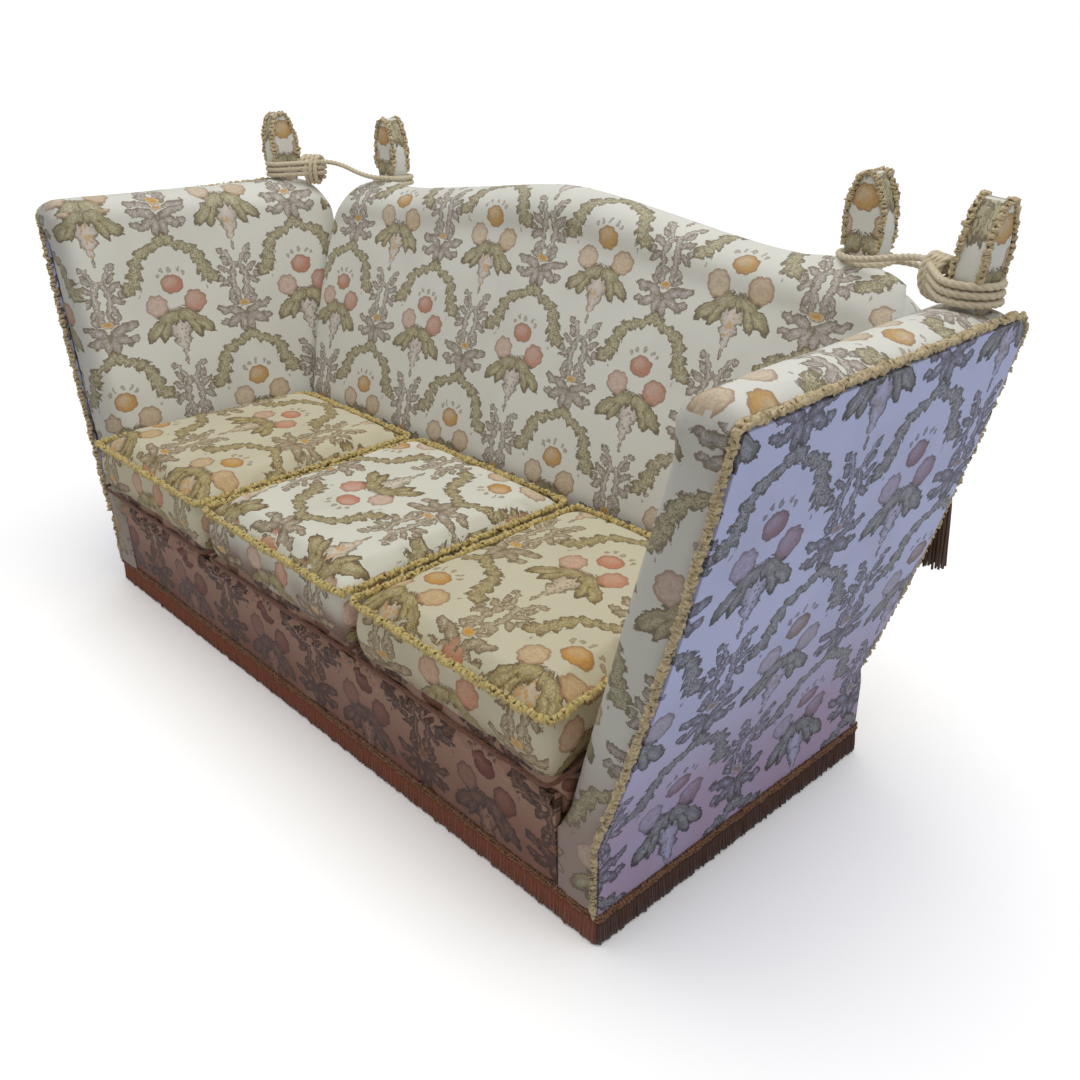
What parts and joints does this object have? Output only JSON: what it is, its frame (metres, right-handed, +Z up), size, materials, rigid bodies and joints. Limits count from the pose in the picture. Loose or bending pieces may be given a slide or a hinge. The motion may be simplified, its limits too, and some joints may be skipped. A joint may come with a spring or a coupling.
{
  "type": "knole sofa",
  "caption": "Knole sofa with high drop arms tied by cords to ears on a camel back, loose boxed cushions and a fringed base.",
  "frame": {"origin": "on the floor, under the middle of the sofa", "axes": "+X along the seat to the sitter's left, +Y to the rear, +Z up; the front faces -Y"},
  "size_m": [2.1886, 0.9919, 1.1372],
  "materials": {
    "brocade": "cream woven brocade with a floral lattice",
    "cushion_brocade": "the same brocade, yellower with wear",
    "platform_cloth": "brocade over the sprung seat",
    "ruche": "looped gold ruche trim",
    "fringe": "rust-brown bullion fringe",
    "cord": "twisted cream cord",
    "tassel": "brown yarn tassel",
    "webbing": "jute webbing",
    "dust_cloth": "thin black dust cloth",
    "frame_wood": "sawn beech",
    "foot_wood": "turned and stained wood",
    "hinge_steel": "plain steel butt hinge"
  },
  "bodies": {
    "base": {"back_bottom_rail": "frame_wood", "back_outer_panel": "brocade", "back_pad": "brocade", "back_top_rail": "frame_wood", "back_uprights": "frame_wood", "base_fringe": "fringe", "bun_feet": "foot_wood", "corner_blocks": "frame_wood", "dust_cover": "dust_cloth", "front_border": "brocade", "front_rail": "frame_wood", "left_back_cord_turns": "cord", "left_back_finial": "brocade", "left_back_post": "frame_wood", "left_base_panel": "brocade", "left_cord_span": "cord", "left_cord_tail": "cord", "left_hinge_base_leaves": "hinge_steel", "left_side_rail": "frame_wood", "left_tassel": "tassel", "rear_rail": "frame_wood", "right_back_cord_turns": "cord", "right_back_finial": "brocade", "right_back_post": "frame_wood", "right_base_panel": "brocade", "right_cord_span": "cord", "right_cord_tail": "cord", "right_hinge_base_leaves": "hinge_steel", "right_side_rail": "frame_wood", "right_tassel": "tassel", "seat_cross_rails": "frame_wood", "seat_platform": "platform_cloth", "seat_webbing": "webbing"},
    "left_arm": {"left_arm_bottom_rail": "frame_wood", "left_arm_cord_turns": "cord", "left_arm_finial": "brocade", "left_arm_front_post": "frame_wood", "left_arm_outer_panel": "brocade", "left_arm_pad": "brocade", "left_arm_rear_post": "frame_wood", "left_arm_ruche": "ruche", "left_arm_top_rail": "frame_wood", "left_hinge_arm_leaves": "hinge_steel"},
    "right_arm": {"right_arm_bottom_rail": "frame_wood", "right_arm_cord_turns": "cord", "right_arm_finial": "brocade", "right_arm_front_post": "frame_wood", "right_arm_outer_panel": "brocade", "right_arm_pad": "brocade", "right_arm_rear_post": "frame_wood", "right_arm_ruche": "ruche", "right_arm_top_rail": "frame_wood", "right_hinge_arm_leaves": "hinge_steel"},
    "left_cushion": {"left_seat_cushion": "cushion_brocade", "left_cushion_ruche": "ruche"},
    "middle_cushion": {"middle_seat_cushion": "cushion_brocade", "middle_cushion_ruche": "ruche"},
    "right_cushion": {"right_seat_cushion": "cushion_brocade", "right_cushion_ruche": "ruche"}
  },
  "joints": [
    {"name": "left_arm_drop", "type": "hinge", "parent": "base", "child": "left_arm", "pos_m": [-0.888, 0, 0.2], "axis": [0, -1, 0], "range_deg": [0, 35], "deforming": ["left_cord_span"]},
    {"name": "right_arm_drop", "type": "hinge", "parent": "base", "child": "right_arm", "pos_m": [0.888, 0, 0.2], "axis": [0, 1, 0], "range_deg": [0, 35], "deforming": ["right_cord_span"]},
    {"name": "left_cushion_lift", "type": "slide", "parent": "base", "child": "left_cushion", "axis": [0, 0, 1], "range_m": [0, 0.25]},
    {"name": "middle_cushion_lift", "type": "slide", "parent": "base", "child": "middle_cushion", "axis": [0, 0, 1], "range_m": [0, 0.25]},
    {"name": "right_cushion_lift", "type": "slide", "parent": "base", "child": "right_cushion", "axis": [0, 0, 1], "range_m": [0, 0.25]}
  ]
}
